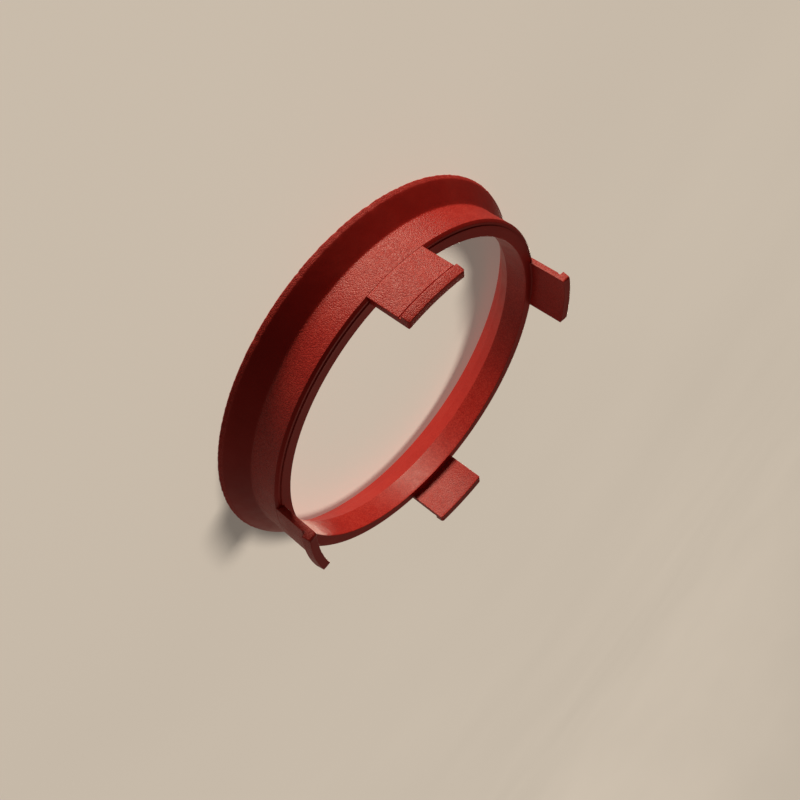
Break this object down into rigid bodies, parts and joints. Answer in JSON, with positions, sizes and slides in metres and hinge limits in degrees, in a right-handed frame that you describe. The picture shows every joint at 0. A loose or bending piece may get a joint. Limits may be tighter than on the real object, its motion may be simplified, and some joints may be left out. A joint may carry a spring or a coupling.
{
  "type": "hub centric ring",
  "caption": "Moulded plastic centring ring for a car wheel, with a thin sleeve, a flared flange and snap clips with barbed tips round its free end.",
  "frame": {"origin": "centre of the flange's back face, on the ring's axis", "axes": "+Z along the ring's axis from the flange towards the clips, +X through the middle of one clip"},
  "size_m": [0.0772, 0.0772, 0.0189],
  "materials": {
    "red_plastic": "moulded, finely spark-eroded outside and smoother in the bore"
  },
  "bodies": {
    "root": {"hub_centric_ring": "red_plastic"}
  },
  "joints": []
}
